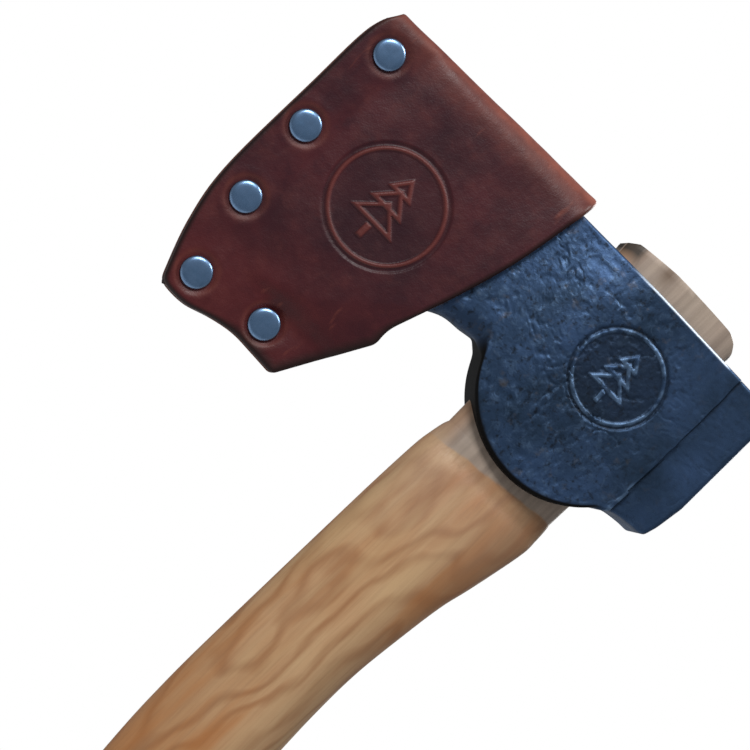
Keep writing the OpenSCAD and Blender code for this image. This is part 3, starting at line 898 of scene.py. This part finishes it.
def make_sheath():
    sheet, depth, near_rows, far_rows = sheath_sheet()
    x, z = sheet[..., 0], sheet[..., 2]
    normal = normals_of(sheet)
    normal *= -np.sign(normal[near_rows // 2, x.shape[1] // 2, 1])
    near, far = np.zeros(x.shape, bool), np.zeros(x.shape, bool)
    near[:near_rows] = True
    far[-far_rows:] = True

    dent, ring = np.zeros_like(x), np.zeros_like(x)
    for i, (rx, rz) in enumerate(RIVETS):
        rho = np.hypot(x - rx, z - rz)
        dent += 0.75 * (1 - smooth_step(6.4, 8.8, rho)) - 0.1 * np.exp(-((rho - 10) / 1.4) ** 2)
        ring += np.exp(-((rho - 8) / 1.0) ** 2)
    # Leather drawn down round the pinching rivet, steepest towards the blade's heel
    rx, rz = RIVETS[PINCHED]
    slope = np.hypot(x - rx - 1.8, z - rz - 5)
    dent += 1.8 * np.exp(-(slope / 7) ** 2)
    dent *= near | far
    ring *= near | far
    floor, lines = stamp(x - SHEATH_MARK[0], z - SHEATH_MARK[1], SHEATH_MARK[2])
    floor, lines = floor * near, lines * near
    drape = noise_at(sheet, 26, 2, 1.0) * 0.25 + noise_at(sheet, 7, 2, 9.0) * 0.06
    closed = np.clip(depth / 1.7, 0, 1)
    shape = 0.3 + 0.7 * np.sqrt(1 - (1 - closed) ** 2)
    lift = (LEATHER_T / 2 * shape - dent + smooth_step(0, 5, depth) * drape
            - 0.5 * floor + 0.12 * lines)
    outer = sheet + normal * lift[..., None]
    inner = sheet - normal * (LEATHER_T / 2 * shape + np.minimum(dent, 0.6))[..., None]

    n = x.size
    io = np.arange(n).reshape(x.shape)
    ii = io + n
    faces = quads(io).tolist() + quads(ii)[:, ::-1].tolist()
    for edge_o, edge_i, flip in ((io[0], ii[0], 1), (io[-1], ii[-1], 0),
                                 (io[:, 0], ii[:, 0], 0), (io[:, -1], ii[:, -1], 1)):
        strip = quads(np.stack([edge_o, edge_i]))
        faces += (strip if flip else strip[:, ::-1]).tolist()

    crown = np.interp(x, *np.array(SPINE).T)
    toward_mouth = smooth_step(-150, -60, x)
    below_crown = outer[..., 2] - crown
    # Lighter towards the spine: a painted sheen over the broad 17 mm gradient, rubbed wear on the
    # narrow strip at the fold, and lighter rings round the rivets
    wear = 0.55 * smooth_step(-17, 0, below_crown) + 0.45 * smooth_step(-5, -1.5, below_crown)
    wear *= 0.55 + 0.45 * toward_mouth
    wear = np.maximum(wear, 0.22 * ring)
    # Dark rim along the free edges, widened at the lower right into painted shade where the
    # leather curves away
    wide = 2.6 + 3.4 * smooth_step(-122, -98, x) * smooth_step(-70, -95, z)
    edge = 1 - smooth_step(0, 1, depth / wide)
    zeros = np.zeros(n)
    marks = {name: np.r_[values.reshape(-1), zeros]
             for name, values in (("wear", wear), ("groove", floor), ("line", lines))}
    marks["edge"] = np.r_[edge.reshape(-1), edge.reshape(-1)]
    marks["inside"] = np.r_[zeros, zeros + 1]
    points = np.vstack([outer.reshape(-1, 3), inner.reshape(-1, 3)])
    piece = mesh_from("sheath_body", points, faces, marks, sharp=60)
    place(piece, "sheath", "sheath_leather", LEATHER, "sheath_leather")


def make_welt():
    outer = spline(BIT_SIDE[:-1] + LOWER_SIDE[:4])[6:]
    count = 140
    s = np.linspace(0, 1, count)
    rim = along(outer, s)
    inward = np.array(EDGE_C) - rim
    distance = np.linalg.norm(inward, axis=1, keepdims=True)
    inward /= distance
    rim += inward * 0.5
    width = np.maximum(distance[:, 0] - 0.5 - WELT_R, 0.3)
    half = WELT_T / 2 - 0.05
    # Section: across the strip, through its rounded outer edge
    section = ((1, -half), (0.06, -half), (0.0, -half * 0.55), (-0.015, 0), (0.0, half * 0.55),
               (0.06, half), (1, half))
    rings = [np.column_stack([rim[:, 0] + inward[:, 0] * width * b,
                              np.full(count, y), rim[:, 1] + inward[:, 1] * width * b])
             for b, y in section]
    grid = np.stack(rings, 1)
    index = np.arange(grid[..., 0].size).reshape(grid.shape[:2])
    faces = quads(np.hstack([index, index[:, :1]])).tolist()
    faces += [index[0][::-1].tolist(), index[-1].tolist()]
    piece = mesh_from("welt_strip", grid.reshape(-1, 3), faces)
    place(piece, "sheath", "welt_leather", WELT, "welt")


CAP_PROFILE = ((0.0, 1.62), (2.0, 1.61), (3.6, 1.56), (4.6, 1.48), (5.2, 1.36), (5.7, 1.15),
               (6.02, 0.88), (6.2, 0.55), (6.25, 0.25), (6.2, 0.02), (6.05, -0.15),
               (5.0, -0.2), (2.25, -0.2))
TUBE_R = 2.15
CAP_SINK = 0.6                         # depth that a cap is pressed into the leather
PINCH_GAP = 0.2                        # half gap that the pinching rivet is seated for


def make_rivet(number, at, seat, side, name, node, tube_end):
    """Lathe-turned cap with its tube or shank, pointing to -Y (side -1) or +Y (side 1)."""
    profile = np.array(CAP_PROFILE + ((TUBE_R, -seat + tube_end), (0.0, -seat + tube_end)))
    turns = 72
    a = np.linspace(0, 2 * np.pi, turns, endpoint=False)
    r, h = profile[:, :1], profile[:, 1:]
    tip = 0.02 * np.cos(a * 3 + number)
    grid = np.stack([at[0] + r * np.cos(a), side * (seat + h + tip * (r > 0)),
                     at[1] + r * np.sin(a)], -1)
    index = np.arange(grid[..., 0].size).reshape(grid.shape[:2])
    index[0] = index[0, 0]
    index[-1] = index[-1, 0]
    faces = quads(np.hstack([index, index[:, :1]]))
    faces = faces if side > 0 else faces[:, ::-1]
    rim = smooth_step(5.3, 6.0, r) * (h > 0)
    edge = np.repeat(rim, turns, 1).reshape(-1)
    faces = [f for f in faces.tolist() if len(set(f)) > 2]
    piece = mesh_from(name, grid.reshape(-1, 3), faces, {"edge": edge})
    place(piece, "sheath", "rivet_steel", RIVET, node)


make_sheath()
make_welt()
for i, at in enumerate(RIVETS):
    half = LEATHER_T + (PINCH_GAP if i == PINCHED else WELT_T / 2)
    seat = half - CAP_SINK
    make_rivet(i, at, seat, -1, f"cap_near_{i + 1}", f"rivet_cap_{i + 1}", 0.2)
    make_rivet(i, at, seat, 1, f"cap_far_{i + 1}", f"rivet_post_{i + 1}", -0.1)

# ---------------------------------------------------------------- floor, light and finish

FLOOR_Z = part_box("haft")[0].z - 2 * MM
FLOOR_R = 4                            # so wide that it hides the axe in views from below
FLOOR_SIDES = 64
AMBIENT = 0.36                         # strength of the world's light


def make_floor():
    mesh = bpy.data.meshes.new("floor")
    turn = np.linspace(0, 2 * np.pi, FLOOR_SIDES, endpoint=False)
    mesh.from_pydata([(FLOOR_R * math.cos(a), FLOOR_R * math.sin(a), 0) for a in turn], [],
                     [tuple(range(FLOOR_SIDES))])
    floor = bpy.data.objects.new("floor", mesh)
    floor.location.z = FLOOR_Z
    bpy.context.scene.collection.objects.link(floor)
    s = Shader("pale_floor", Roughness=0.9)
    s.set("Base Color", s.mix(s.noise(40, 3), colour("e6e6e6"), colour("efefef")))
    mesh.materials.append(s.material)


def make_light(name, at, size, power, aim):
    data = bpy.data.lights.new(name, "AREA")
    data.shape = "SQUARE"
    data.size = size
    data.energy = power
    lamp = bpy.data.objects.new(name, data)
    lamp.location = at
    lamp.rotation_euler = (Vector(aim) - Vector(at)).to_track_quat("-Z", "Y").to_euler()
    bpy.context.scene.collection.objects.link(lamp)


def make_world():
    """White to the camera, dimmer as light, so that the lamps model the shapes."""
    world = bpy.data.worlds.new("studio")
    world.use_nodes = True
    nodes, links = world.node_tree.nodes, world.node_tree.links
    ambient = nodes["Background"]
    ambient.inputs["Color"].default_value = (0.93, 0.96, 1, 1)
    ambient.inputs["Strength"].default_value = AMBIENT
    backdrop = nodes.new("ShaderNodeBackground")
    backdrop.inputs["Color"].default_value = (1, 1, 1, 1)
    choose = nodes.new("ShaderNodeMixShader")
    links.new(nodes.new("ShaderNodeLightPath").outputs["Is Camera Ray"], choose.inputs["Fac"])
    links.new(ambient.outputs["Background"], choose.inputs[1])
    links.new(backdrop.outputs["Background"], choose.inputs[2])
    links.new(choose.outputs["Shader"], nodes["World Output"].inputs["Surface"])
    bpy.context.scene.world = world


make_floor()
make_world()
make_light("key", (-0.45, -0.8, 0.75), 0.35, 11, (-0.05, 0, 0.03))
make_light("top", (0.3, -0.35, 1.0), 0.3, 8, (-0.05, 0, 0.05))
make_light("behind", (0.6, 0.9, 0.5), 0.6, 9, (-0.05, 0, -0.1))
bpy.context.scene.view_settings.view_transform = "Standard"
